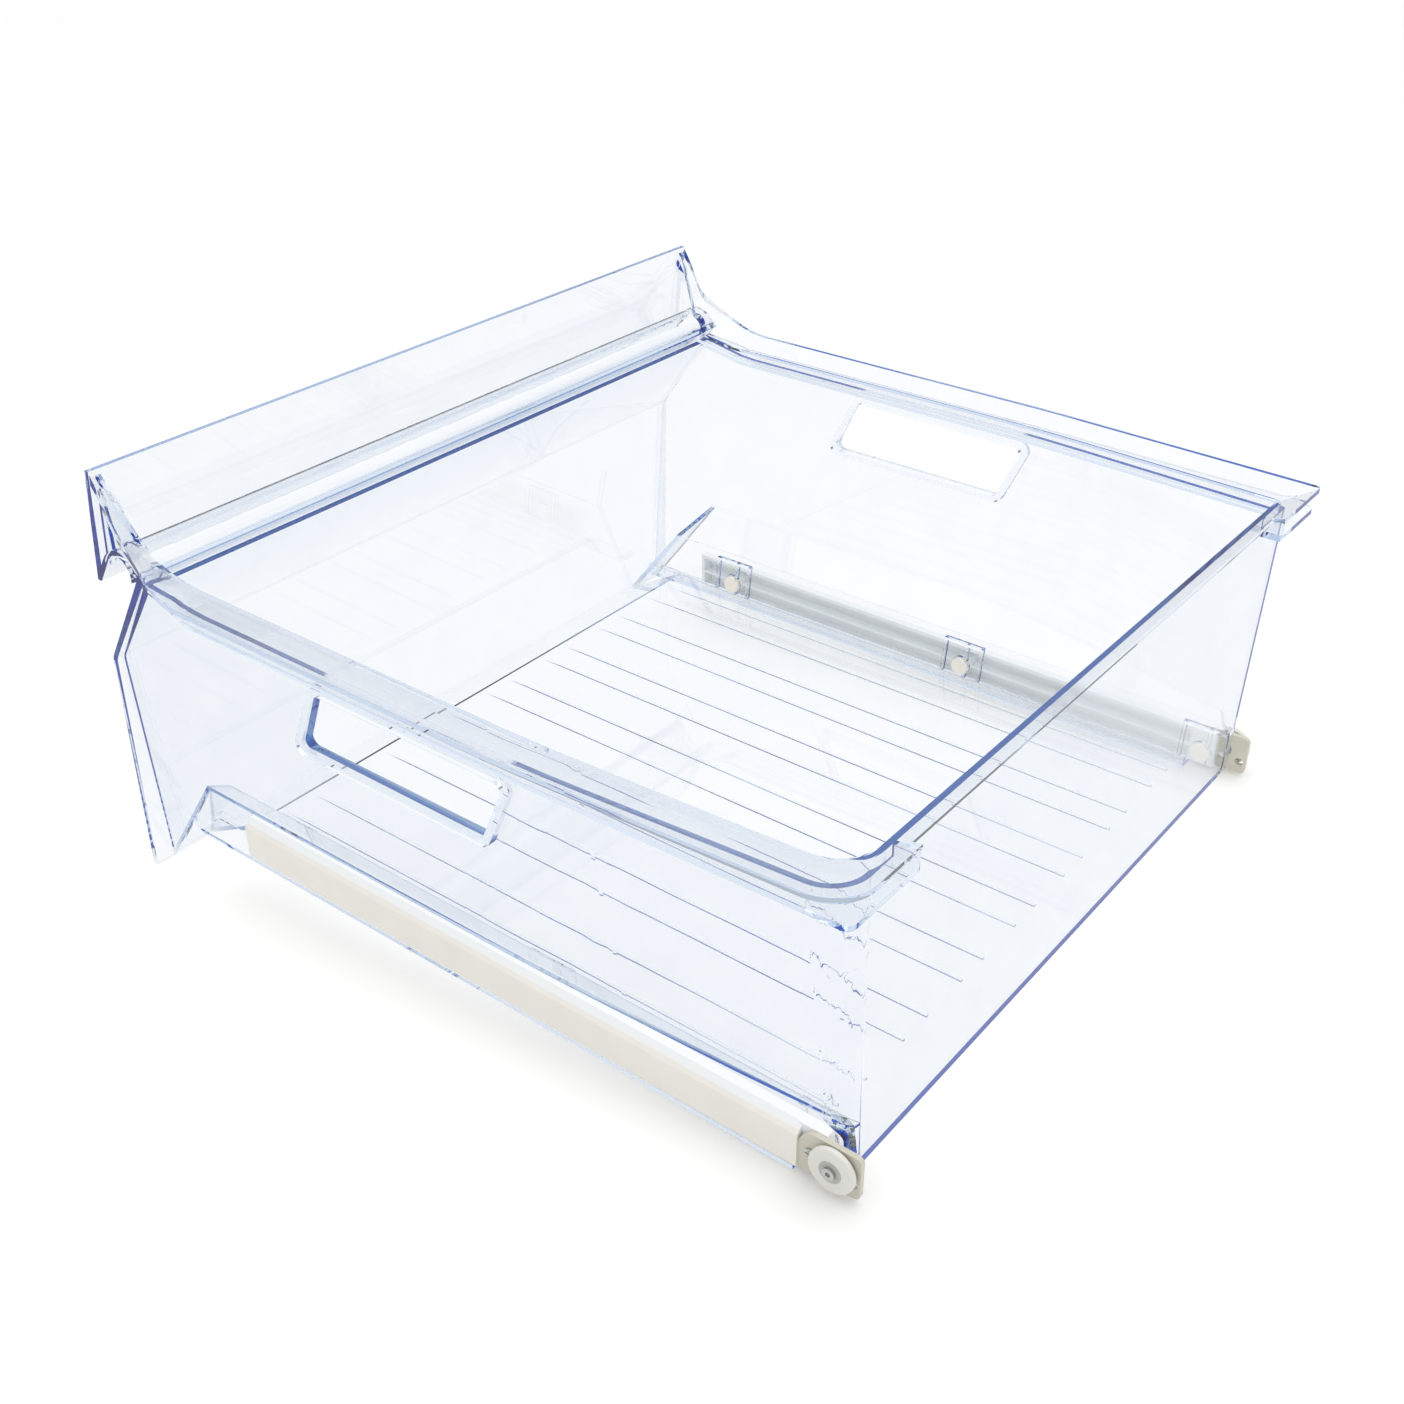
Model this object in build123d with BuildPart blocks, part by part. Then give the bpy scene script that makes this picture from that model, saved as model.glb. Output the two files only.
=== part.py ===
"""Refrigerator bin: one clear moulded tub on two side rails, each with a roller at its rear end.

Millimetres, +Z up. X runs across the bin, Y from the pull lip (-Y) to the rear wall (+Y). The origin is the
centre of the footprint, at the height of the front panel's lower edge, which is the lowest point.
"""
from build123d import *
import os

# ---------------------------------------------------------------- driving dimensions
overall_depth = 447.0        # front panel to the edge of the rear corner flanges
wall = 2.8                   # moulded wall of the tub
front_wall = 3.5             # front panel
lip_wall = 3.0               # pull lip
flange_wall = 2.8            # flanges and web of the rim
shelf_wall = 2.4             # ledge of the tub under the rail
seat_gap = 0.3               # between a rail and the wall that it lies against

# heights above the front panel's lower edge, and what is measured from them
floor_height = 26.0          # top of the floor
knee_height = 131.0          # bend of the front panel
rim_height = 189.0           # top of the upper rim flange, at its outer edge
rim_tilt = 3.0               # that flange slopes down inwards by this much
rim_channel = 10.4           # top of the lower flange under the top of the upper one
lip_rise = 49.0              # top of the pull lip over the rim
tip_drop = 10.5              # lower edge of the pull lip under the rim
joint_drop = 4.0             # where the panel meets the finger recess, under the rim
recess_peak_rise = 8.0       # top of the finger recess, from below, over the rim
crease_rise = 0.3            # inner crease between the panel and the top of the finger recess

# side walls: half widths of their outer faces
wall_foot_half = 210.0       # at the height of the front panel's lower edge
wall_lean = 9.5              # the wall leans out by this much up to the rim
taper_length = 152.5         # the rear stretch of the side that tapers in
taper_foot = 18.4            # by this much at the foot
taper_top = 10.5             # and by this much under the rim
taper_radius = 900.0
recess_depth = 18.3          # upper edge of the wall behind the rail, inside the foot of the side wall
recess_lean = 3.7            # lower edge of the wall behind the rail, inside its upper edge

# rim, outwards from the side walls and from each other
rim_inset = 10.7             # inner edge of the rim, inside the top of the side wall
rim_taper = 8.4
shoulder_width = 6.0         # outer edge of the lower flange, outside the top of the side wall
shoulder_taper = 4.5
flange_proud = 6.1           # outer edge of the upper flange, outside the lower one
flange_taper = 7.2
panel_proud = 1.5            # edge of the front panel, outside the top of the side wall
lip_proud = 3.0              # end of the pull lip, outside the panel
channel_end_inset = 25.8     # rear ends of the rim channel, inside the rim's inner edge

# corner radii seen from above: the right rear corner is rounded, the left one is square
right_corner = 20.0
left_corner = 2.5
shoulder_corner = 4.0
right_foot_corner = 8.0      # the rounding narrows towards the bottom

# rear end of the recess for the rail, closed by the full-width rear wall
recess_rear_wall = 3.5       # measured along the bin, at the recess's foot
recess_rear_knee = 19.0      # height over the floor where the recess's rear edge starts to slant forwards
recess_rear_radius = 10.0    # where that edge starts to slant

# rear rim
rear_overhang = 11.0         # corner flanges beyond the rear wall
shoulder_short = 0.6         # the lower flange stops short of the upper one at the rear
rear_lip_width = 5.5         # narrow flange along the middle of the rear wall

# front panel and pull lip in side view: distances behind the panel's lower edge, the foremost point
knee_back = 2.5
knee_radius = 8.0
joint_back = 37.0            # where the panel meets the finger recess
recess_peak_back = 30.0      # top of the finger recess, from below
recess_leg_run = 9.0         # the finger recess's front leg starts this far in front of its top
recess_leg_drop = 5.0
tip_back = 9.0               # front face of the lip, at its lower edge
lip_top_back = 16.5          # front face of the lip, at its top
groove_run = 2.5             # groove behind the lip, behind its lower edge
recess_crest_back = 31.0     # top of the finger recess, from above
crease_back = 45.0           # inner crease between the panel and the top of the finger recess

# front of the rim, where its flanges sweep up into the lip
sweep_start_back = 83.0
shoulder_sweep_end = 4.0     # the lower flange's sweep ends this far behind the top of the panel
shoulder_sweep_rise = 6.4
# sections of the upper flange: distance behind the front, inner edge outside the rim's inner edge and its height
# over the rim, outer edge outside the lip's end and its height over the rim, thickness measured upright
flange_sections = (
    (83.0, 0.0, -3.0, 7.6, 0.0, 2.8),
    (77.0, 0.0, -3.0, 7.5, 0.3, 2.8),
    (67.0, 0.0, -2.8, 7.0, 2.0, 2.8),
    (54.0, 0.0, -1.4, 4.8, 8.4, 3.2),
    (43.0, 0.7, 2.4, 2.4, 15.0, 4.0),
    (33.0, 4.4, 17.0, 0.6, 22.6, 5.4),
    (25.5, 7.2, 34.0, 0.0, 37.0, 6.4),
    (18.0, 8.9, 47.2, 0.0, 48.6, 6.4),
)
cheek_inset = 6.3            # inner face of the cheek that closes the lip's end, inside that end
# upper edge of the cheek: distance behind the front, height over the rim
cheek_edge = ((45.0, 0.3), (38.0, 7.4), (29.5, 24.5), (21.0, 44.0), (18.0, 47.0))

# step in the side wall's lower edge, in front of the rail
step_top_back = 54.0
step_foot_back = 15.0
step_foot_height = 15.0
floor_slope_back = 45.0      # the floor slopes down from here to the front panel's lower edge

# floor ribs, in pairs
rib_pair_count = 7
rib_pitch = 51.5             # between the middles of two pairs
rib_spacing = 20.3           # between the two ribs of a pair
rib_width = 1.4
rib_height = 1.2
rib_front_back = 50.0
rib_ramp = 30.0
rib_rear_gap = 23.0

# hand holes: a leaning slot in each side, in a raised collar
hole_length = 116.0
hole_drop = 21.5             # upper edge under the rim
hole_rise = 33.5
hole_lean = 15.0
hole_rear = 174.5            # rear lower corner of the slot, in front of the rear wall
hole_radius = 4.0
collar_width = 4.0
collar_height = 3.2

# rails
rail_height = 24.0
rail_rise = 17.0             # top of the rail over the floor
rail_width = 9.5
rail_front_back = 60.0
rail_tail = 9.5              # rear end of the thin tail that carries the axle bracket, in front of the rear wall
rail_shell = 2.2
rail_chamfer = 4.5
rail_foot_chamfer = 1.5
rail_bead = 1.2              # lengthwise rib in the middle of the channel
knee_over_rail = 7.0         # upper edge of the wall behind the rail, over the rail
ledge_over_rail = 24.0       # lower edge of the side wall, over the rail
shelf_front_back = 17.0      # the ledge's front end meets the step in the side wall
shelf_rear = 24.5            # its rear end, in front of the rear wall
shelf_short = 1.0            # its edge, inside the rail's outer face
stud_radius = 3.0
stud_rise = 0.6              # studs over the rail's middle
stud_head_radius = 5.4
stud_head = 1.6
stud_clearance = 0.15
stud_depth = 5.0
stud_boss_wall = 2.4
stud_pad_rim = 1.0           # flat pad around each stud's hole, beyond the stud's head
front_stud_back = 89.0
middle_stud_back = 265.0

# clip box around each stud, inside the tub: three upright ribs under a lid
clip_rib_backs = (-11.5, 3.8, 13.6)  # middles of the ribs, behind the stud
clip_rib = 1.8
clip_head_gap = 0.4          # around the stud's head, where it passes through a rib
clip_reach = 3.0
clip_top_rise = 22.0         # top of its lid over the floor
clip_lid = 1.6

# axle bracket, roller and their fasteners
bracket_wall = 2.6
bracket_inset = 1.2          # its outer face lies this far inside the rail's outer face
bracket_front = 22.3         # its front end, in front of the rear wall
bracket_front_radius = 9.0   # at the upper end of its front edge
bracket_beyond = 9.0         # its rear end, beyond the rear wall
bracket_top_gap = 0.4        # its top under the rail's
bracket_bottom_gap = 1.0     # its lower edge over the rail's
bracket_corner = 3.0
foot_length = 9.0
foot_drop = 0.6
slot_width = 4.4
slot_length = 5.0
slot_beyond = 5.2            # beyond the rear wall
slot_drop = 5.5              # under the axle
axle_front = 3.2             # axle in front of the rear wall's outer face
axle_rise = 6.4              # over the floor
roller_gap = 1.3             # between the bracket and the roller, where the screw's head lies
roller_radius = 11.4
roller_width = 3.2
roller_edge = 1.0
bush_radius = 5.4
bush_proud = 0.3
axle_radius = 2.0
running_clearance = 0.05
side_clearance = 0.4
rivet_head_radius = 3.0
rivet_head = 1.2
rivet_tail = 0.8             # thickness of its flattened inner end
dimple_radius = 1.2
screw_front = 16.2           # screw in front of the rear wall
screw_radius = 1.5
screw_length = 8.0
screw_head_radius = 2.5
screw_head = 1.0
screw_slot = 0.8
screw_slot_share = 0.7       # length of the cross recess over the head's width

# ---------------------------------------------------------------- derived values
SIDES = {"right": 1, "left": -1}
front_y = -overall_depth / 2
flange_rear_y = overall_depth / 2
shoulder_rear_y = flange_rear_y - shoulder_short
rear_y = flange_rear_y - rear_overhang
inner_rear_y = rear_y - wall
taper_y = rear_y - taper_length
recess_rear_y = rear_y - recess_rear_wall
shelf_rear_y = rear_y - shelf_rear
hole_rear_y = rear_y - hole_rear
rail_tail_y = rear_y - rail_tail
bracket_front_y = rear_y - bracket_front
bracket_rear_y = rear_y + bracket_beyond
slot_y = rear_y + slot_beyond
axle_y = rear_y - axle_front
screw_y = rear_y - screw_front

wall_top_half = wall_foot_half + wall_lean
wall_foot_rear_half = wall_foot_half - taper_foot
wall_top_rear_half = wall_top_half - taper_top
recess_knee_half = wall_foot_half - recess_depth
recess_foot_half = recess_knee_half - recess_lean
rim_half = wall_top_half - rim_inset
rim_rear_half = rim_half - rim_taper
shoulder_half = wall_top_half + shoulder_width
shoulder_rear_half = shoulder_half - shoulder_taper
flange_half = shoulder_half + flange_proud
flange_rear_half = flange_half - flange_taper
panel_half = wall_top_half + panel_proud
lip_half = panel_half + lip_proud
channel_end_half = rim_rear_half - channel_end_inset
cheek_front_half = lip_half - cheek_inset
far = 2 * flange_half        # a length that passes right through the tub

floor_underside = floor_height - wall
rail_top_height = floor_height + rail_rise
recess_knee_height = rail_top_height + knee_over_rail
ledge_height = rail_top_height + ledge_over_rail
recess_slant_height = floor_height + recess_rear_knee
clip_top_height = floor_height + clip_top_rise
axle_height = floor_height + axle_rise
slot_height = axle_height - slot_drop
flange_underside = rim_height - flange_wall
rim_inner_height = rim_height - rim_tilt
shoulder_height = rim_height - rim_channel
shoulder_underside = shoulder_height - flange_wall
joint_height = rim_height - joint_drop
recess_peak_height = rim_height + recess_peak_rise
tip_height = rim_height - tip_drop
lip_height = rim_height + lip_rise
crease_height = rim_height + crease_rise
hole_bottom_height = rim_height - hole_drop - hole_rise

os.makedirs("parts", exist_ok=True)


def save(piece, name):
    piece.label = name
    export_step(piece, f"parts/{name}.step")


def back(distance):
    """Y of a point that lies this far behind the foremost edge."""
    return front_y + distance


def outline(half, rear_half, y_rear, right_radius, left_radius, y_front=front_y):
    """Plan outline of the tub: straight sides that taper in towards the rear corners."""
    with BuildSketch() as plan:
        with BuildLine():
            Polyline(
                (half, y_front), (half, taper_y), (rear_half, y_rear),
                (-rear_half, y_rear), (-half, taper_y), (-half, y_front), close=True,
            )
        make_face()
        fillet(plan.vertices().filter_by_position(Axis.Y, taper_y - 1, taper_y + 1), taper_radius)
        fillet(plan.vertices().group_by(Axis.Y)[-1].sort_by(Axis.X)[-1], right_radius)
        if left_radius:
            fillet(plan.vertices().group_by(Axis.Y)[-1].sort_by(Axis.X)[0], left_radius)
    return plan.sketch


def side_prism(points):
    """Prism across the whole width, from a side view given as (y, z) points."""
    with BuildPart() as prism:
        with BuildSketch(Plane.YZ):
            with BuildLine():
                Polyline(*points, close=True)
            make_face()
        extrude(amount=far / 2, both=True)
    return prism.part


def stack(low_plan, low_z, high_plan, high_z):
    """Straight-sided solid between two plan outlines."""
    with BuildPart() as solid:
        with BuildSketch(Plane.XY.offset(low_z)):
            add(low_plan)
        with BuildSketch(Plane.XY.offset(high_z)):
            add(high_plan)
        loft(ruled=True)
    return solid.part


def draft(half_low, z_low, half_high, z_high, z):
    """Half width of a drafted wall at height z."""
    return half_low + (half_high - half_low) * (z - z_low) / (z_high - z_low)


def recess_half(z):
    """Half width of the outer face of the wall behind the rail, at height z."""
    return draft(recess_foot_half, floor_underside, recess_knee_half, recess_knee_height, z)


# ---------------------------------------------------------------- tub
shoulder_end_back = joint_back + shoulder_sweep_end
sweep_y = back(sweep_start_back)
shoulder_run = sweep_start_back - shoulder_end_back
# side view of the lower flange's top, from the rear to the panel
shoulder_line = [
    (rear_y, shoulder_height),
    (sweep_y, shoulder_height),
    (back(sweep_start_back - 0.25 * shoulder_run), shoulder_height + 0.1 * shoulder_sweep_rise),
    (back(sweep_start_back - 0.5 * shoulder_run), shoulder_height + 0.4 * shoulder_sweep_rise),
    (back(shoulder_end_back), shoulder_height + shoulder_sweep_rise),
]
wall_top_line = [(y, z - flange_wall / 2) for y, z in shoulder_line]


def recess_prism(inset):
    """Recess for the right-hand rail: upright wall, roof that slopes out and up, leaning front and rear ends."""
    top = 2 * ledge_height
    roof_slope = (ledge_height - recess_knee_height) / (
        draft(wall_foot_half, 0, wall_top_half, shoulder_underside, ledge_height) - recess_knee_half
    )
    step_slope = (step_top_back - step_foot_back) / (ledge_height - step_foot_height)
    with BuildPart() as prism:
        with BuildSketch(Plane.XZ.offset(-rear_y - wall)):
            with BuildLine():
                Polyline(
                    (recess_half(-wall), -wall), (recess_knee_half, recess_knee_height),
                    (far / 2, recess_knee_height + roof_slope * (far / 2 - recess_knee_half)), (far / 2, -wall),
                    close=True,
                )
            make_face()
            if inset:
                offset(amount=inset, kind=Kind.INTERSECTION)
        extrude(amount=far)
        with BuildSketch(Plane.YZ) as side_view:
            with BuildLine():
                Polyline(
                    (back(step_foot_back - step_slope * (step_foot_height + wall)), -wall),
                    (back(step_top_back + step_slope * (top - ledge_height)), top),
                    (recess_rear_y - (top - recess_slant_height), top),
                    (recess_rear_y, recess_slant_height), (recess_rear_y, -wall), close=True,
                )
            make_face()
            slant_start = side_view.vertices().filter_by_position(
                Axis.Y, recess_slant_height - wall, recess_slant_height + wall,
            )
            fillet(slant_start, recess_rear_radius)
            if inset:
                offset(amount=inset, kind=Kind.INTERSECTION)
        extrude(amount=far, mode=Mode.INTERSECT)
    return prism.part


def tub_volume(inset):
    """Outer form of the tub with every face moved inwards by inset."""
    top = shoulder_height + 2 * shoulder_sweep_rise
    start = front_y - 10
    foot_plan = outline(
        wall_foot_half - inset, wall_foot_rear_half - inset, rear_y - inset, right_foot_corner - inset,
        max(left_corner - inset, 0), start,
    )
    top_plan = outline(
        draft(wall_foot_half, 0, wall_top_half, shoulder_underside, top) - inset,
        draft(wall_foot_rear_half, 0, wall_top_rear_half, shoulder_underside, top) - inset,
        rear_y - inset, right_corner - inset, max(left_corner - inset, 0), start,
    )
    walls = stack(foot_plan, 0, top_plan, top)
    recess = recess_prism(inset)
    with BuildPart() as volume:
        add(walls)
        add(recess, mode=Mode.SUBTRACT)
        add(mirror(recess, about=Plane.YZ, mode=Mode.PRIVATE), mode=Mode.SUBTRACT)
    return volume.part


# everything behind the front panel and above the floor, for the outer form and for the hollow
outer_side = side_prism([
    (back(front_wall / 2), 0), (back(knee_back + front_wall / 2), knee_height),
    (back(joint_back + 1), joint_height), *reversed(wall_top_line),
    (rear_y, floor_underside), (back(floor_slope_back), floor_underside), (back(front_wall), 0),
])
inner_side = side_prism([
    (back(front_wall), wall), (back(knee_back + front_wall), knee_height),
    (back(crease_back), crease_height - 2 * flange_wall), *reversed(wall_top_line[1:-1]),
    (inner_rear_y, shoulder_height - flange_wall / 2), (inner_rear_y, floor_height),
    (back(floor_slope_back), floor_height),
])
outer_form = tub_volume(0)
inner_form = tub_volume(wall)
with BuildPart() as body_hollow:
    add(inner_form)
    add(inner_side, mode=Mode.INTERSECT)
with BuildPart() as body:
    add(outer_form)
    add(outer_side, mode=Mode.INTERSECT)
    add(body_hollow.part, mode=Mode.SUBTRACT)

# front panel, in side view
joint_out = (back(joint_back), joint_height)
crease_in = (back(crease_back), crease_height)
with BuildPart() as front:
    with BuildSketch(Plane.YZ) as panel_view:
        with BuildLine():
            Polyline(
                joint_out, (back(knee_back), knee_height), (back(0), 0), (back(front_wall), 0),
                (back(knee_back + front_wall), knee_height), crease_in, close=True,
            )
        make_face()
        fillet(panel_view.vertices().filter_by_position(Axis.Y, knee_height - 1, knee_height + 1), knee_radius)
    extrude(amount=panel_half, both=True)

# finger recess and pull lip, in side view
leg_under = (back(recess_peak_back - recess_leg_run), recess_peak_height - recess_leg_drop)
lip_foot_rear = (back(tip_back + lip_wall), tip_height)
groove = (back(tip_back + lip_wall + groove_run), joint_height + lip_wall)
recess_crest = (back(recess_crest_back), recess_peak_height + lip_wall)
with BuildPart() as lip:
    with BuildSketch(Plane.YZ):
        with BuildLine():
            ThreePointArc(joint_out, (back(recess_peak_back), recess_peak_height), leg_under)
            Polyline(
                leg_under, lip_foot_rear, (back(tip_back), tip_height), (back(lip_top_back), lip_height),
                (back(lip_top_back + lip_wall), lip_height), groove,
            )
            Spline(groove, recess_crest, crease_in, tangents=[(0.55, 1), (0.7, -1)])
            Line(crease_in, joint_out)
        make_face()
    extrude(amount=lip_half, both=True)


def band(outer, inner, low, high):
    """Flat band between two plan outlines, from height low to height high."""
    with BuildPart() as ring:
        with BuildSketch(Plane.XY.offset(low)):
            add(outer)
            add(inner, mode=Mode.SUBTRACT)
        extrude(amount=high - low)
    return ring.part


# rim behind the sweep: a web with two flanges, open to the outside
rim_inner = outline(rim_half, rim_rear_half, inner_rear_y, right_corner, left_corner, sweep_y)
web_outer = outline(
    rim_half + flange_wall, rim_rear_half + flange_wall, rear_y,
    right_corner + flange_wall, left_corner + flange_wall, sweep_y,
)
shoulder_outer = outline(
    shoulder_half, shoulder_rear_half, shoulder_rear_y, shoulder_corner, shoulder_corner, sweep_y,
)
flange_outer = outline(flange_half, flange_rear_half, flange_rear_y, right_corner, left_corner, sweep_y)
shoulder_band = band(shoulder_outer, rim_inner, shoulder_underside, shoulder_height)
web_band = band(web_outer, rim_inner, shoulder_height, rim_inner_height - flange_wall / 2)
# the upper flange slopes down inwards: what lies above it is a shallow dish
dish = stack(rim_inner, rim_inner_height, flange_outer, rim_height)
with BuildPart() as flange:
    add(band(flange_outer, rim_inner, rim_inner_height - flange_wall, rim_height))
    add(dish, mode=Mode.SUBTRACT)
with BuildPart() as under_flange:
    add(band(flange_outer, rim_inner, rim_inner_height - flange_wall, flange_underside))
    add(Pos(0, 0, -flange_wall) * dish, mode=Mode.SUBTRACT)
with BuildPart() as rim:
    add(flange.part)
    add(under_flange.part, mode=Mode.SUBTRACT)
    add(shoulder_band)
    add(web_band)
    # between the corners the rear wall keeps only a narrow flange
    with Locations((0, rear_y, shoulder_underside)):
        Box(
            2 * channel_end_half, far, shoulder_height - shoulder_underside,
            align=(Align.CENTER, Align.MIN, Align.MIN), mode=Mode.SUBTRACT,
        )
    with Locations((0, rear_y + rear_lip_width, shoulder_height)):
        Box(
            2 * channel_end_half, far, rim_height - shoulder_height,
            align=(Align.CENTER, Align.MIN, Align.MIN), mode=Mode.SUBTRACT,
        )
    # end ribs close the channel on both sides
    for side in SIDES.values():
        with Locations((side * (channel_end_half + flange_wall / 2), rear_y, shoulder_height)):
            Box(
                flange_wall, shoulder_rear_y - rear_y, rim_inner_height - shoulder_height,
                align=(Align.CENTER, Align.MIN, Align.MIN),
            )

# right-hand front of the rim: the upper flange sweeps up and outwards
with BuildPart() as upper_sweep:
    for distance, inner_out, inner_rise, outer_out, outer_rise, thickness in flange_sections:
        half_in, z_in = rim_half + inner_out, rim_height + inner_rise
        half_out, z_out = lip_half + outer_out, rim_height + outer_rise
        with BuildSketch(Plane.XZ.offset(-back(distance))):
            with BuildLine():
                Polyline(
                    (half_in, z_in), (half_out, z_out), (half_out, z_out - thickness), (half_in, z_in - thickness),
                    close=True,
                )
            make_face()
    loft()

# the lower flange follows it and narrows towards the panel
with BuildPart() as lower_sweep:
    with BuildSketch(Plane.YZ.offset(rim_half)):
        with BuildLine():
            Polyline(
                *shoulder_line[1:], *[(y, z - flange_wall) for y, z in reversed(shoulder_line[1:])], close=True,
            )
        make_face()
    extrude(amount=shoulder_half - rim_half)
    with BuildSketch(Plane.XY):
        with BuildLine():
            Polyline(
                (rim_half, sweep_y), (shoulder_half, sweep_y), (panel_half, back(shoulder_end_back)),
                (rim_half, back(shoulder_end_back)), close=True,
            )
        make_face()
    extrude(amount=far, mode=Mode.INTERSECT)

# web between the two swept flanges
with BuildPart() as sweep_web:
    with BuildSketch(Plane.YZ.offset(rim_half)):
        with BuildLine():
            Polyline(
                *[(y, z - flange_wall / 2) for y, z in shoulder_line[1:]],
                (back(shoulder_end_back), crease_height - flange_wall / 2),
                (sweep_y, rim_inner_height - flange_wall / 2),
                close=True,
            )
        make_face()
    extrude(amount=flange_wall)

# cheek that closes the right-hand end of the lip, between its concave upper edge and the finger recess
with BuildPart() as cheek:
    with BuildSketch(Plane.YZ.offset(rim_half - flange_wall)):
        with BuildLine():
            cheek_top = Spline(*[(back(distance), rim_height + rise) for distance, rise in cheek_edge])
            Polyline(
                cheek_top @ 1, (back(tip_back + lip_wall), joint_height + lip_wall / 2),
                (back(recess_peak_back - 4), recess_peak_height), (back(recess_crest_back), recess_peak_height + 1),
                cheek_top @ 0,
            )
        make_face()
    extrude(amount=2 * flange_wall + cheek_front_half - rim_half)
    with BuildSketch(Plane.XY):
        with BuildLine():
            Polyline(
                (rim_half, back(crease_back)), (cheek_front_half, back(cheek_edge[3][0])),
                (cheek_front_half, back(tip_back)), (cheek_front_half + flange_wall, back(tip_back)),
                (cheek_front_half + flange_wall, back(cheek_edge[3][0])),
                (rim_half + flange_wall, back(crease_back)), close=True,
            )
        make_face()
    extrude(amount=far, mode=Mode.INTERSECT)

# hand hole, leaning towards the rear, and the collar around it
hole_points = [
    (hole_rear_y, hole_bottom_height), (hole_rear_y + hole_lean, hole_bottom_height + hole_rise),
    (hole_rear_y + hole_lean - hole_length, hole_bottom_height + hole_rise),
    (hole_rear_y - hole_length, hole_bottom_height),
]
collar_half = draft(
    wall_foot_half, 0, wall_top_half, shoulder_underside, hole_bottom_height + hole_rise / 2,
) + collar_height
with BuildPart() as hole_cut:
    with BuildSketch(Plane.YZ) as hole_view:
        with BuildLine():
            Polyline(*hole_points, close=True)
        make_face()
        fillet(hole_view.vertices(), hole_radius)
    extrude(amount=far / 2, both=True)
with BuildPart() as collar:
    with BuildSketch(Plane.YZ.offset(collar_half)) as collar_view:
        with BuildLine():
            Polyline(*hole_points, close=True)
        make_face()
        offset(amount=collar_width, kind=Kind.INTERSECTION)
        fillet(collar_view.vertices(), hole_radius + collar_width / 2)
    extrude(amount=-(collar_height + wall))
    add(body_hollow.part, mode=Mode.SUBTRACT)

# floor rib with a ramp at its front end
with BuildPart() as floor_rib:
    with BuildSketch(Plane.YZ):
        with BuildLine():
            Polyline(
                (back(rib_front_back), floor_height - wall / 2), (back(rib_front_back), floor_height),
                (back(rib_front_back + rib_ramp), floor_height + rib_height),
                (inner_rear_y - rib_rear_gap, floor_height + rib_height),
                (inner_rear_y - rib_rear_gap, floor_height - wall / 2), close=True,
            )
        make_face()
    extrude(amount=rib_width / 2, both=True)
rib_offsets = [
    (i - (rib_pair_count - 1) / 2) * rib_pitch + side * rib_spacing / 2
    for i in range(rib_pair_count) for side in (-1, 1)
]

# shelf under the rail, hung from the foot of the wall behind it
rail_inner_half = recess_half(rail_top_height) + seat_gap
rail_outer_half = rail_inner_half + rail_width
rail_bottom_height = rail_top_height - rail_height
rail_middle_height = rail_bottom_height + rail_height / 2
stud_height = rail_middle_height + stud_rise
shelf_height = rail_bottom_height - seat_gap
shelf_half = rail_outer_half - shelf_short
with BuildPart() as shelf:
    with BuildSketch(Plane.XZ.offset(-shelf_rear_y)):
        with BuildLine():
            Polyline(
                (recess_foot_half, floor_height - wall / 2), (recess_half(shelf_height), shelf_height),
                (shelf_half, shelf_height), (shelf_half, shelf_height - shelf_wall),
                (recess_half(shelf_height) - wall, shelf_height - shelf_wall),
                (recess_foot_half - wall, floor_height - wall / 2), close=True,
            )
        make_face()
    extrude(amount=shelf_rear_y - back(shelf_front_back))

# clip boxes around the studs
stud_ys = (back(front_stud_back), back(middle_stud_back), screw_y)
clip_inner_half = recess_half(clip_top_height) - wall - clip_reach
clip_end_view = [
    (recess_half(floor_height) - wall / 2, floor_height - wall / 2),
    (recess_half(floor_height) - wall - clip_reach, floor_height - wall / 2),
    (clip_inner_half, clip_top_height),
    (recess_half(clip_top_height) - wall / 2, clip_top_height),
]
pad_face_half = recess_half(stud_height - stud_head_radius - stud_pad_rim) - wall
with BuildPart() as clips:
    for stud_y in stud_ys:
        rib_ys = [stud_y + rib_back for rib_back in clip_rib_backs]
        for rib_y in [y for y in rib_ys if y + clip_rib < inner_rear_y]:
            with BuildSketch(Plane.XZ.offset(-rib_y - clip_rib / 2)):
                with BuildLine():
                    Polyline(*clip_end_view, close=True)
                make_face()
            extrude(amount=clip_rib)
        lid_start = rib_ys[0] - clip_rib / 2
        lid_end = min(rib_ys[-1] + clip_rib / 2, rear_y - wall / 2)
        with Locations((clip_inner_half, lid_start, clip_top_height - clip_lid)):
            Box(
                recess_half(clip_top_height) - wall / 2 - clip_inner_half, lid_end - lid_start, clip_lid,
                align=(Align.MIN, Align.MIN, Align.MIN),
            )
    # the ribs make room for the studs' heads
    for stud_y in stud_ys:
        with Locations(Location((pad_face_half, stud_y, stud_height), (0, 90, 0))):
            Cylinder(
                stud_head_radius + clip_head_gap, pad_face_half - clip_inner_half + clip_reach,
                align=(Align.CENTER, Align.CENTER, Align.MAX), mode=Mode.SUBTRACT,
            )

# flat pad inside the tub around each stud's hole
with BuildPart() as pads:
    for stud_y in stud_ys:
        with Locations(Location((pad_face_half, stud_y, stud_height), (0, 90, 0))):
            Cylinder(
                stud_head_radius + stud_pad_rim, recess_half(stud_height) - wall / 2 - pad_face_half,
                align=(Align.CENTER, Align.CENTER, Align.MIN),
            )

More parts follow.
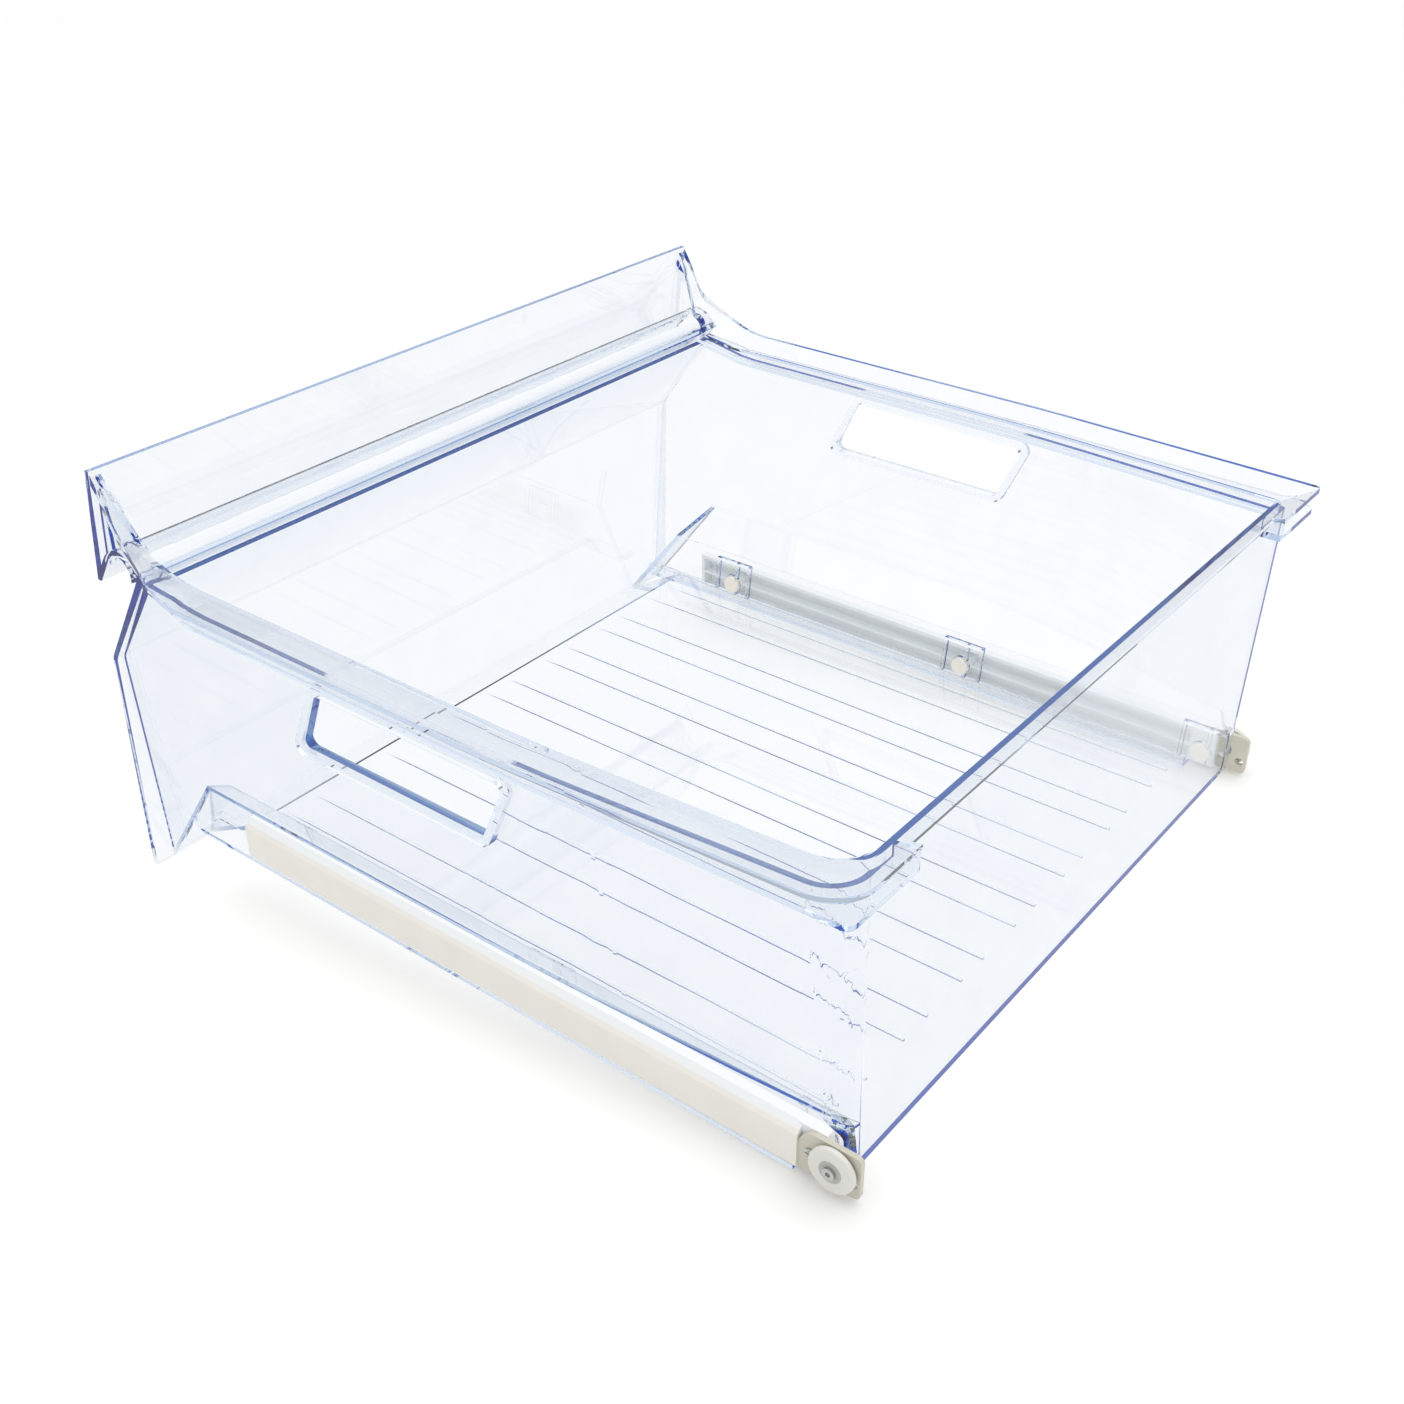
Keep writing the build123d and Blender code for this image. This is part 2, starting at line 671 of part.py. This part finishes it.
with BuildPart() as tub:
    add(body.part)
    add(front.part)
    add(lip.part)
    add(rim.part)
    for right_piece in (
        upper_sweep.part, lower_sweep.part, sweep_web.part, cheek.part, collar.part, shelf.part, clips.part,
        pads.part,
    ):
        add(right_piece)
        add(mirror(right_piece, about=Plane.YZ, mode=Mode.PRIVATE))
    with Locations(*[(rib_x, 0, 0) for rib_x in rib_offsets]):
        add(floor_rib.part)
    add(hole_cut.part, mode=Mode.SUBTRACT)
    for stud_y in stud_ys:
        with Locations(Location((0, stud_y, stud_height), (0, 90, 0))):
            Cylinder(stud_radius + stud_clearance, far, mode=Mode.SUBTRACT)
save(tub.part, "tub")

# ---------------------------------------------------------------- rails and what they carry
rail_front_y = back(rail_front_back)
rail_web_half = rail_outer_half - rail_shell
bracket_outer_half = rail_outer_half - bracket_inset
bracket_inner_half = bracket_outer_half - bracket_wall
bush_inner_half = bracket_outer_half + side_clearance
roller_inner_half = bracket_outer_half + roller_gap
bush_outer_half = roller_inner_half + roller_width + bush_proud
bush_length = bush_outer_half - bush_inner_half
rivet_head_half = bush_outer_half + side_clearance / 2


def across(half, y, z):
    """Place something turned about X: its axis runs outwards from x = half."""
    return Location((half, y, z), (0, 90, 0))


TOWARDS_OUTSIDE = (Align.CENTER, Align.CENTER, Align.MIN)

with BuildPart() as rail:
    # channel open towards the tub, with a chamfered upper edge on the outside and a bead along its middle
    with BuildSketch(Plane.XZ.offset(-bracket_front_y)):
        with BuildLine():
            Polyline(
                (rail_inner_half, rail_top_height), (rail_outer_half - rail_chamfer, rail_top_height),
                (rail_outer_half, rail_top_height - rail_chamfer),
                (rail_outer_half, rail_bottom_height + rail_foot_chamfer),
                (rail_outer_half - rail_foot_chamfer, rail_bottom_height), (rail_inner_half, rail_bottom_height),
                (rail_inner_half, rail_bottom_height + rail_shell), (rail_web_half, rail_bottom_height + rail_shell),
                (rail_web_half, rail_top_height - rail_chamfer - rail_shell / 2),
                (rail_outer_half - rail_chamfer - rail_shell / 2, rail_top_height - rail_shell),
                (rail_inner_half, rail_top_height - rail_shell), close=True,
            )
        make_face()
        with Locations((rail_inner_half, rail_middle_height)):
            Rectangle(rail_width - rail_shell / 2, rail_bead, align=(Align.MIN, Align.CENTER))
    extrude(amount=bracket_front_y - rail_front_y)
    # front end wall, and the solid tail behind the channel that carries the axle bracket
    with BuildSketch(Plane.XZ.offset(-rail_front_y - rail_shell)):
        with BuildLine():
            Polyline(
                (rail_inner_half, rail_top_height), (rail_outer_half - rail_chamfer, rail_top_height),
                (rail_outer_half, rail_top_height - rail_chamfer),
                (rail_outer_half, rail_bottom_height + rail_foot_chamfer),
                (rail_outer_half - rail_foot_chamfer, rail_bottom_height), (rail_inner_half, rail_bottom_height),
                close=True,
            )
        make_face()
    extrude(amount=rail_shell)
    with Locations((rail_inner_half, bracket_front_y - rail_shell, rail_bottom_height)):
        Box(
            bracket_inner_half - rail_inner_half, rail_tail_y - bracket_front_y + rail_shell, rail_height,
            align=(Align.MIN, Align.MIN, Align.MIN),
        )
    # hollow bosses for the two front studs
    boss_length = rail_web_half - rail_inner_half + rail_shell / 2
    with Locations(*[across(rail_inner_half, y, stud_height) for y in stud_ys[:2]]):
        Cylinder(stud_radius + stud_boss_wall, boss_length, align=TOWARDS_OUTSIDE)
    with Locations(*[across(rail_inner_half, y, stud_height) for y in stud_ys]):
        Cylinder(stud_radius + stud_clearance, stud_depth, align=TOWARDS_OUTSIDE, mode=Mode.SUBTRACT)
    with Locations(across(rail_inner_half, screw_y, stud_height)):
        Cylinder(
            screw_radius + stud_clearance, bracket_inner_half - rail_inner_half, align=TOWARDS_OUTSIDE,
            mode=Mode.SUBTRACT,
        )

with BuildPart() as studs:
    with Locations(*[across(pad_face_half - stud_head, y, stud_height) for y in stud_ys]):
        Cylinder(stud_head_radius, stud_head, align=TOWARDS_OUTSIDE)
    with Locations(*[across(pad_face_half, y, stud_height) for y in stud_ys]):
        Cylinder(stud_radius, rail_inner_half + stud_depth - seat_gap - pad_face_half, align=TOWARDS_OUTSIDE)
    with Locations(across(bracket_outer_half - screw_length, screw_y, stud_height)):
        Cylinder(screw_radius, screw_length, align=TOWARDS_OUTSIDE, mode=Mode.SUBTRACT)

bracket_top_height = rail_top_height - bracket_top_gap
bracket_bottom_height = rail_bottom_height + bracket_bottom_gap
with BuildPart() as bracket:
    with BuildSketch(Plane.YZ.offset(bracket_inner_half)) as bracket_view:
        with BuildLine():
            Polyline(
                (bracket_front_y, bracket_bottom_height), (bracket_front_y, bracket_top_height),
                (bracket_rear_y, bracket_top_height), (bracket_rear_y, bracket_bottom_height - foot_drop),
                (bracket_rear_y - foot_length, bracket_bottom_height - foot_drop),
                (bracket_rear_y - foot_length, bracket_bottom_height), close=True,
            )
        make_face()
        rear_corners = bracket_view.vertices().group_by(Axis.X)[-1]
        fillet(rear_corners, bracket_corner)
        front_corner = bracket_view.vertices().group_by(Axis.X)[0].sort_by(Axis.Y)[-1]
        fillet(front_corner, bracket_front_radius)
        with Locations((slot_y, slot_height)):
            SlotOverall(slot_length, slot_width, mode=Mode.SUBTRACT)
        with Locations((axle_y, axle_height)):
            Circle(axle_radius + running_clearance, mode=Mode.SUBTRACT)
        with Locations((screw_y, stud_height)):
            Circle(screw_radius + stud_clearance, mode=Mode.SUBTRACT)
    extrude(amount=bracket_wall)

with BuildPart() as roller:
    with Locations(across(roller_inner_half, axle_y, axle_height)):
        Cylinder(roller_radius, roller_width, align=TOWARDS_OUTSIDE)
    fillet(roller.edges().filter_by(GeomType.CIRCLE), roller_edge)
    with Locations(across(roller_inner_half, axle_y, axle_height)):
        Cylinder(bush_radius, roller_width, align=TOWARDS_OUTSIDE, mode=Mode.SUBTRACT)

with BuildPart() as bush:
    with Locations(across(bush_inner_half, axle_y, axle_height)):
        Cylinder(bush_radius, bush_length, align=TOWARDS_OUTSIDE)
        Cylinder(axle_radius + running_clearance, bush_length, align=TOWARDS_OUTSIDE, mode=Mode.SUBTRACT)

with BuildPart() as rivet:
    with Locations(across(bracket_inner_half - rivet_tail, axle_y, axle_height)):
        Cylinder(rivet_head_radius, rivet_tail, align=TOWARDS_OUTSIDE)
        Cylinder(axle_radius, rivet_head_half + rivet_head - bracket_inner_half + rivet_tail, align=TOWARDS_OUTSIDE)
    with Locations(across(rivet_head_half, axle_y, axle_height)):
        Cylinder(rivet_head_radius, rivet_head, align=TOWARDS_OUTSIDE)
        Cylinder(dimple_radius, rivet_head, align=TOWARDS_OUTSIDE, mode=Mode.SUBTRACT)

cross_length = 2 * screw_slot_share * screw_head_radius
with BuildPart() as screw:
    with Locations(across(bracket_outer_half - screw_length, screw_y, stud_height)):
        Cylinder(screw_radius, screw_length, align=TOWARDS_OUTSIDE)
    with Locations(across(bracket_outer_half, screw_y, stud_height)):
        Cylinder(screw_head_radius, screw_head, align=TOWARDS_OUTSIDE)
    # cross recess
    with Locations((bracket_outer_half + screw_head, screw_y, stud_height)):
        Box(screw_head, screw_slot, cross_length, mode=Mode.SUBTRACT)
        Box(screw_head, cross_length, screw_slot, mode=Mode.SUBTRACT)

RIGHT_PIECES = {
    "rail": rail, "rail_studs": studs, "axle_bracket": bracket, "roller": roller, "roller_bush": bush,
    "axle_rivet": rivet, "bracket_screw": screw,
}
for name, built in RIGHT_PIECES.items():
    save(built.part, f"{name}_right")
    save(mirror(built.part, about=Plane.YZ), f"{name}_left")
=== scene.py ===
"""Refrigerator bin: a clear moulded tub on two cream side rails, each with a roller at its rear end.

Metres. X runs across the bin, Y from the pull lip to the rear wall, Z up.
"""
import math

import bpy
from mathutils import Matrix, Vector


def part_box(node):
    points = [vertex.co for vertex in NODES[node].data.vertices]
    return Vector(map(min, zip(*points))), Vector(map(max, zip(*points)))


bl_info = {
    "name": "Refrigerator Bin",
    "version": (1, 0, 0),
    "blender": (4, 5, 0),
    "location": "View3D > Sidebar > Bin",
    "description": "Finishes a clear refrigerator bin around its CAD frame and lights it in a plain studio",
    "category": "Add Mesh",
}

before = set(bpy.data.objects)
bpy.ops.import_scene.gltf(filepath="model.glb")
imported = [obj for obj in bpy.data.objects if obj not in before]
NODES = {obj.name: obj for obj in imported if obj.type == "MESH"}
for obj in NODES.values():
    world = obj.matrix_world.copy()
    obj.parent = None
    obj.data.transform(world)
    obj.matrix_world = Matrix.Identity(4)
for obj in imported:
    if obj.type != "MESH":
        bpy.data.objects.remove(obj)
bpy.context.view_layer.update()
MM = 0.001
SIDES = ("left", "right")
LIGHT_BOUNCES = 32           # turns that light takes inside the clear sheet before it's cut off
CHANNEL_WALL = 1.5 * MM      # outer skin of the rails that has their outer colour; inward of it the channels carry painted light
COLOUR_BLEND = 0.5 * MM      # stretch over which a piece's own colour passes into the painted light inside the rails' channels

# widths and depths of the patterns in the materials
CLOUD_WIDTH = 25 * MM        # cloudy patches in the clear plastic
FLOW_WIDTH = 18 * MM         # flow mottling in the opaque plastics
GRAIN_DEPTH = 0.03 * MM
SPECK_WIDTH = 0.6 * MM       # spots in the zinc plating
SPECK_DEPTH = 0.02 * MM
FIBRE_WIDTH = 2 * MM         # fibres in the studio's paper
FIBRE_DEPTH = 0.05 * MM

# the bin rests on the front panel's lower edge and on the rear ends of the shelves under the rails
SHELF_REAR = 0.188
SHELF_UNDERSIDE = 0.0163


# ---------------------------------------------------------------- colours and nodes
def srgb(hex_code):
    """Linear RGBA of an sRGB hex colour."""
    channels = [int(hex_code[i:i + 2], 16) / 255 for i in (1, 3, 5)]
    return [c / 12.92 if c <= 0.04045 else ((c + 0.055) / 1.055) ** 2.4 for c in channels] + [1.0]


def add_node(owner, kind, settings=None, inputs=None, links=None):
    """Adds one shader node to a material or world. settings are its properties, inputs its values, and links
    the sockets that feed it."""
    node = owner.node_tree.nodes.new(kind)
    for name, value in (settings or {}).items():
        setattr(node, name, value)
    for name, value in (inputs or {}).items():
        node.inputs[name].default_value = value
    for name, source in (links or {}).items():
        owner.node_tree.links.new(source, node.inputs[name])
    return node


def new_material(name):
    material = bpy.data.materials.new(name)
    material.use_nodes = True
    material.node_tree.nodes.clear()
    return material


def finish_material(material, shader, volume=None):
    links = {"Surface": shader.outputs[0]}
    if volume:
        links["Volume"] = volume.outputs[0]
    add_node(material, "ShaderNodeOutputMaterial", links=links)
    return material


def give(node_names, material):
    """Puts one material on CAD nodes, which keep their own meshes."""
    for name in node_names:
        mesh = NODES[name].data
        mesh.materials.clear()
        mesh.materials.append(material)


def clear_polystyrene(tint, tint_depth_mm, painted_edge_glow):
    """Injection-moulded clear polystyrene with a little blue toner: almost white through a wall, and blue to
    navy along its edges, where the eye looks along the sheet.
    The blue there is partly the toner's tint over the long path and partly a painted dark-blue glow where the
    light's turns run out."""
    material = new_material("clear moulded polystyrene")
    place = add_node(material, "ShaderNodeTexCoord")
    # faint cloudiness from handling
    cloud = add_node(
        material, "ShaderNodeTexNoise", inputs={"Scale": 1 / CLOUD_WIDTH, "Detail": 3.0},
        links={"Vector": place.outputs["Object"]},
    )
    clearness = add_node(
        material, "ShaderNodeMix", {"data_type": "RGBA"}, {"A": srgb("#f5f6f8"), "B": srgb("#fdfdfd")},
        {"Factor": cloud.outputs["Fac"]},
    )
    # painted glow: where light is still inside the sheet after LIGHT_BOUNCES turns, the surface glows dark blue
    # in place of the light piped along it
    ray = add_node(material, "ShaderNodeLightPath")
    painted_glow_switch = add_node(
        material, "ShaderNodeMath", {"operation": "GREATER_THAN"}, {1: LIGHT_BOUNCES - 0.5},
        {0: ray.outputs["Ray Depth"]},
    )
    shader = add_node(
        material, "ShaderNodeBsdfPrincipled",
        inputs={"Roughness": 0.0, "Transmission Weight": 1.0, "IOR": 1.5, "Emission Color": srgb(painted_edge_glow)},
        links={"Base Color": clearness.outputs["Result"], "Emission Strength": painted_glow_switch.outputs[0]},
    )
    depth = add_node(
        material, "ShaderNodeVolumeAbsorption",
        inputs={"Color": srgb(tint), "Density": 1 / (tint_depth_mm * MM)},
    )
    return finish_material(material, shader, depth)


def moulded_plastic(name, colour, roughness, grain_mm, mottle=0.04, painted_channel_light=None):
    """Opaque moulded plastic: even colour with faint flow mottling, and a fine spark-eroded grain.
    The optional second colour is painted light, lighter and bluer than the plastic to lift the shade inside the
    rails' channels; it comes with the distance from the middle of the bin, in metres, inside which it shows."""
    material = new_material(name)
    place = add_node(material, "ShaderNodeTexCoord")
    cloud = add_node(
        material, "ShaderNodeTexNoise", inputs={"Scale": 1 / FLOW_WIDTH, "Detail": 3.0},
        links={"Vector": place.outputs["Object"]},
    )
    # darker spots are a little yellower
    r, g, b, a = srgb(colour)
    darker = (r * (1 - mottle), g * (1 - mottle), b * (1 - 1.4 * mottle), a)
    lighter = (min(1, r * (1 + mottle)), min(1, g * (1 + mottle)), min(1, b * (1 + mottle)), a)
    tone = add_node(
        material, "ShaderNodeMix", {"data_type": "RGBA"}, {"A": darker, "B": lighter},
        {"Factor": cloud.outputs["Fac"]},
    )
    # painted light: inside the given distance from the middle of the bin the colour turns lighter and bluer,
    # lifting the shade in the rails' channels
    if painted_channel_light:
        painted_light_colour, painted_light_half = painted_channel_light
        sides = add_node(material, "ShaderNodeSeparateXYZ", links={"Vector": place.outputs["Object"]})
        half = add_node(material, "ShaderNodeMath", {"operation": "ABSOLUTE"}, links={0: sides.outputs["X"]})
        outside = add_node(
            material, "ShaderNodeMapRange",
            inputs={"From Min": painted_light_half - COLOUR_BLEND, "From Max": painted_light_half},
            links={"Value": half.outputs[0]},
        )
        tone = add_node(
            material, "ShaderNodeMix", {"data_type": "RGBA"}, {"A": srgb(painted_light_colour)},
            {"Factor": outside.outputs["Result"], "B": tone.outputs["Result"]},
        )
    grain = add_node(
        material, "ShaderNodeTexNoise", inputs={"Scale": 1 / (grain_mm * MM), "Detail": 2.0},
        links={"Vector": place.outputs["Object"]},
    )
    bump = add_node(
        material, "ShaderNodeBump", inputs={"Strength": 0.3, "Distance": GRAIN_DEPTH},
        links={"Height": grain.outputs["Fac"]},
    )
    shine = add_node(
        material, "ShaderNodeMapRange", inputs={"To Min": roughness - 0.05, "To Max": roughness + 0.08},
        links={"Value": cloud.outputs["Fac"]},
    )
    shader = add_node(
        material, "ShaderNodeBsdfPrincipled", inputs={"IOR": 1.49},
        links={"Base Color": tone.outputs["Result"], "Roughness": shine.outputs["Result"],
               "Normal": bump.outputs["Normal"]},
    )
    return finish_material(material, shader)


def plated_steel(name, colour, roughness):
    """Zinc-plated steel: small spots of more and less shine, with a slight relief."""
    material = new_material(name)
    place = add_node(material, "ShaderNodeTexCoord")
    speck = add_node(
        material, "ShaderNodeTexNoise", inputs={"Scale": 1 / SPECK_WIDTH, "Detail": 3.0},
        links={"Vector": place.outputs["Object"]},
    )
    shine = add_node(
        material, "ShaderNodeMapRange", inputs={"To Min": roughness - 0.08, "To Max": roughness + 0.12},
        links={"Value": speck.outputs["Fac"]},
    )
    bump = add_node(
        material, "ShaderNodeBump", inputs={"Strength": 0.2, "Distance": SPECK_DEPTH},
        links={"Height": speck.outputs["Fac"]},
    )
    shader = add_node(
        material, "ShaderNodeBsdfPrincipled", inputs={"Base Color": srgb(colour), "Metallic": 1.0},
        links={"Roughness": shine.outputs["Result"], "Normal": bump.outputs["Normal"]},
    )
    return finish_material(material, shader)


# ---------------------------------------------------------------- sizes and colours
class BinColours(bpy.types.PropertyGroup):
    edge_tint: bpy.props.StringProperty(
        name="Edge tint", description="Colour that light keeps on a long way through the clear plastic",
        default="#4fa3dc",
    )
    tint_depth: bpy.props.FloatProperty(
        name="Tint depth", description="Millimetres of clear plastic over which the tint sets in", default=60.0,
        min=1.0,
    )
    # painted glow: colour in which the clear sheet glows where its light paths are cut off
    painted_edge_glow: bpy.props.StringProperty(
        name="Painted edge glow", description="Colour of the painted glow that stands in for light piped to the sheet's edges", default="#457db8",
    )
    rail_colour: bpy.props.StringProperty(name="Rails", description="Colour of the rails", default="#efede6")
    # painted light inside the rails' channels, lighter and bluer than the rails
    channel_painted_light: bpy.props.StringProperty(
        name="Channels", description="Painted light inside the channels of the rails", default="#f3f6f7",
    )
    stud_colour: bpy.props.StringProperty(
        name="Studs", description="Colour of the rail studs", default="#f0ece4",
    )
    bracket_colour: bpy.props.StringProperty(
        name="Brackets", description="Colour of the axle brackets", default="#cfccbe",
    )
    roller_colour: bpy.props.StringProperty(
        name="Rollers", description="Colour of the rollers", default="#e2e2dc",
    )
    bush_colour: bpy.props.StringProperty(
        name="Bushes", description="Colour of the rollers' bushes", default="#b4b4b0",
    )
    steel_colour: bpy.props.StringProperty(
        name="Fasteners", description="Colour of the rivets and screws", default="#c4c5c3",
    )


class BinStudio(bpy.types.PropertyGroup):
    floor_size: bpy.props.FloatProperty(
        name="Floor", description="Side of the studio floor", default=12.0, unit="LENGTH",
    )
    focal_length: bpy.props.FloatProperty(
        name="Focal length", description="Camera focal length on a 36 mm sensor", default=43.36,
        subtype="DISTANCE_CAMERA",
    )
    camera_place: bpy.props.FloatVectorProperty(
        name="Camera place", description="Where the photo was taken from", default=(0.6214, 0.4677, 0.5618),
        subtype="TRANSLATION", unit="LENGTH",
    )
    camera_right: bpy.props.FloatVectorProperty(
        name="Camera right", description="Direction towards the photo's right edge",
        default=(-0.614, 0.789, 0.0), subtype="DIRECTION",
    )
    camera_back: bpy.props.FloatVectorProperty(
        name="Camera back", description="Direction opposite to the camera's view",
        default=(0.6711, 0.5220, 0.5264), subtype="DIRECTION",
    )
    soft_box_power: bpy.props.FloatProperty(
        name="Soft box", description="Power of the large soft box overhead, in watts", default=3.0, min=0.0,
    )
    soft_box_place: bpy.props.FloatVectorProperty(
        name="Soft box place", description="Centre of the soft box, which faces the bin",
        default=(-0.7, 0.3, 1.6), subtype="TRANSLATION", unit="LENGTH",
    )
    soft_box_size: bpy.props.FloatVectorProperty(
        name="Soft box size", description="Width and height of the soft box", default=(1.6, 1.2), size=2,
        unit="LENGTH",
    )
    sky_strength: bpy.props.FloatProperty(
        name="Sky", description="Strength of the white light from above", default=1.08, min=0.0,
    )
    horizon_strength: bpy.props.FloatProperty(
        name="Horizon", description="Strength of the light from near the horizon", default=0.1, min=0.0,
    )
    glow_start: bpy.props.FloatProperty(
        name="Glow start", description="Height in the sky, as a share of straight up, where brightening starts",
        default=0.1, min=0.0, max=1.0,
    )
    glow_end: bpy.props.FloatProperty(
        name="Glow end", description="Height in the sky, as a share of straight up, where it's fully bright",
        default=0.4, min=0.0, max=1.0,
    )


# ---------------------------------------------------------------- pieces
class BIN_OT_tub(bpy.types.Operator):
    """Clear tub with its rim, pull lip, hand holes and floor ribs"""
    bl_idname = "bin.tub"
    bl_label = "Clear Tub"

    def execute(self, context):
        colours = context.scene.bin_colours
        plastic = clear_polystyrene(colours.edge_tint, colours.tint_depth, colours.painted_edge_glow)
        give(["tub"], plastic)
        # light falls through the clear walls instead of being stopped by them
        NODES["tub"].visible_shadow = False
        NODES["tub"].visible_diffuse = False
        return {"FINISHED"}


class BIN_OT_rails(bpy.types.Operator):
    """Cream side rails, the studs that hold them and the brackets at their rear ends"""
    bl_idname = "bin.rails"
    bl_label = "Side Rails"

    def execute(self, context):
        colours = context.scene.bin_colours
        # the rails' channels get painted light inward of their outer skin
        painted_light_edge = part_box("rail_right")[1].x - CHANNEL_WALL
        cream = moulded_plastic(
            "moulded ABS, cream, satin", colours.rail_colour, 0.42, 0.5,
            painted_channel_light=(colours.channel_painted_light, painted_light_edge),
        )
        grey = moulded_plastic("moulded acetal, warm grey", colours.bracket_colour, 0.38, 0.4)
        ivory = moulded_plastic("moulded ABS, ivory", colours.stud_colour, 0.4, 0.4)
        give([f"rail_{side}" for side in SIDES], cream)
        give([f"rail_studs_{side}" for side in SIDES], ivory)
        give([f"axle_bracket_{side}" for side in SIDES], grey)
        return {"FINISHED"}


class BIN_OT_rollers(bpy.types.Operator):
    """Rollers with their bushes, axle rivets and bracket screws"""
    bl_idname = "bin.rollers"
    bl_label = "Rollers"

    def execute(self, context):
        colours = context.scene.bin_colours
        white = moulded_plastic("moulded nylon, off-white", colours.roller_colour, 0.35, 0.4)
        grey = moulded_plastic("moulded nylon, grey", colours.bush_colour, 0.4, 0.4)
        steel = plated_steel("steel, zinc plated", colours.steel_colour, 0.3)
        give([f"roller_{side}" for side in SIDES], white)
        give([f"roller_bush_{side}" for side in SIDES], grey)
        give([f"{name}_{side}" for name in ("axle_rivet", "bracket_screw") for side in SIDES], steel)
        return {"FINISHED"}


class BIN_OT_stage(bpy.types.Operator):
    """Pale floor under the points that the bin rests on, soft light and the camera"""
    bl_idname = "bin.stage"
    bl_label = "Studio"

    def execute(self, context):
        studio = context.scene.bin_studio
        scene = context.scene

        tub_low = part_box("tub")[0]
        rest_front = Vector((0.0, tub_low.y, 0.0))
        tilt = math.atan2(SHELF_UNDERSIDE, SHELF_REAR - rest_front.y)
        bpy.ops.object.select_all(action="DESELECT")
        bpy.ops.mesh.primitive_plane_add(size=studio.floor_size, location=rest_front, rotation=(tilt, 0.0, 0.0))
        floor = context.object
        floor.name = "studio_floor"
        paper = new_material("matt white paper")
        place = add_node(paper, "ShaderNodeTexCoord")
        fibre = add_node(
            paper, "ShaderNodeTexNoise", inputs={"Scale": 1 / FIBRE_WIDTH, "Detail": 2.0},
            links={"Vector": place.outputs["Object"]},
        )
        bump = add_node(
            paper, "ShaderNodeBump", inputs={"Strength": 0.05, "Distance": FIBRE_DEPTH},
            links={"Height": fibre.outputs["Fac"]},
        )
        matt = add_node(
            paper, "ShaderNodeBsdfDiffuse", inputs={"Color": srgb("#fcfcfc")},
            links={"Normal": bump.outputs["Normal"]},
        )
        finish_material(paper, matt)
        floor.data.materials.append(paper)

        world = bpy.data.worlds.new("white studio")
        world.use_nodes = True
        scene.world = world
        world.node_tree.nodes.clear()
        # white overhead and dim near the horizon, where a studio has its dark walls
        way = add_node(world, "ShaderNodeTexCoord")
        height = add_node(world, "ShaderNodeSeparateXYZ", links={"Vector": way.outputs["Generated"]})
        glow = add_node(
            world, "ShaderNodeMapRange",
            inputs={"From Min": studio.glow_start, "From Max": studio.glow_end,
                    "To Min": studio.horizon_strength, "To Max": studio.sky_strength},
            links={"Value": height.outputs["Z"]},
        )
        # a line of sight that no surface has mirrored sees the white backdrop
        ray = add_node(world, "ShaderNodeLightPath")
        unmirrored = add_node(
            world, "ShaderNodeMath", {"operation": "LESS_THAN"}, {1: 0.5}, {0: ray.outputs["Glossy Depth"]},
        )
        straight = add_node(
            world, "ShaderNodeMath", {"operation": "MULTIPLY"},
            links={0: unmirrored.outputs[0], 1: ray.outputs["Is Transmission Ray"]},
        )
        direct = add_node(
            world, "ShaderNodeMath", {"operation": "MAXIMUM"},
            links={0: straight.outputs[0], 1: ray.outputs["Is Camera Ray"]},
        )
        strength = add_node(
            world, "ShaderNodeMix", {"data_type": "FLOAT"}, {"B": 1.0},
            {"Factor": direct.outputs[0], "A": glow.outputs["Result"]},
        )
        sky = add_node(
            world, "ShaderNodeBackground", inputs={"Color": srgb("#ffffff")},
            links={"Strength": strength.outputs[0]},
        )
        add_node(world, "ShaderNodeOutputWorld", links={"Surface": sky.outputs[0]})

        bpy.ops.object.light_add(type="AREA", location=studio.soft_box_place)
        box = context.object
        box.name = "soft_box"
        box.data.shape = "RECTANGLE"
        box.data.size, box.data.size_y = studio.soft_box_size
        box.data.energy = studio.soft_box_power
        box.rotation_euler = (-box.location).to_track_quat("-Z", "Y").to_euler()

        bpy.ops.object.camera_add()
        camera = context.object
        camera.name = "photo_camera"
        camera.data.sensor_width = 36.0
        camera.data.lens = studio.focal_length
        camera.data.clip_start = 0.01
        right = Vector(studio.camera_right).normalized()
        back = Vector(studio.camera_back).normalized()
        turn = Matrix((right, back.cross(right), back)).transposed()
        camera.matrix_world = Matrix.Translation(studio.camera_place) @ turn.to_4x4()
        scene.camera = camera

        scene.view_settings.view_transform = "Standard"
        # clear sheets need long light paths
        scene.cycles.max_bounces = LIGHT_BOUNCES
        scene.cycles.glossy_bounces = LIGHT_BOUNCES
        scene.cycles.transmission_bounces = LIGHT_BOUNCES
        return {"FINISHED"}


class BIN_PT_panel(bpy.types.Panel):
    """Lists the bin's pieces in the 3D view's sidebar"""
    bl_idname = "BIN_PT_panel"
    bl_label = "Refrigerator Bin"
    bl_space_type = "VIEW_3D"
    bl_region_type = "UI"
    bl_category = "Bin"

    def draw(self, context):
        layout = self.layout
        for operator in OPERATORS:
            layout.operator(operator.bl_idname)
        for group in (context.scene.bin_colours, context.scene.bin_studio):
            for name in group.__annotations__:
                layout.prop(group, name)


OPERATORS = (BIN_OT_tub, BIN_OT_rails, BIN_OT_rollers, BIN_OT_stage)
CLASSES = (BinColours, BinStudio) + OPERATORS + (BIN_PT_panel,)


def register():
    for cls in CLASSES:
        bpy.utils.register_class(cls)
    bpy.types.Scene.bin_colours = bpy.props.PointerProperty(type=BinColours)
    bpy.types.Scene.bin_studio = bpy.props.PointerProperty(type=BinStudio)


def unregister():
    del bpy.types.Scene.bin_studio
    del bpy.types.Scene.bin_colours
    for cls in reversed(CLASSES):
        bpy.utils.unregister_class(cls)


def main():
    register()
    bpy.ops.bin.tub()
    bpy.ops.bin.rails()
    bpy.ops.bin.rollers()
    bpy.ops.bin.stage()


if __name__ == "__main__":
    main()
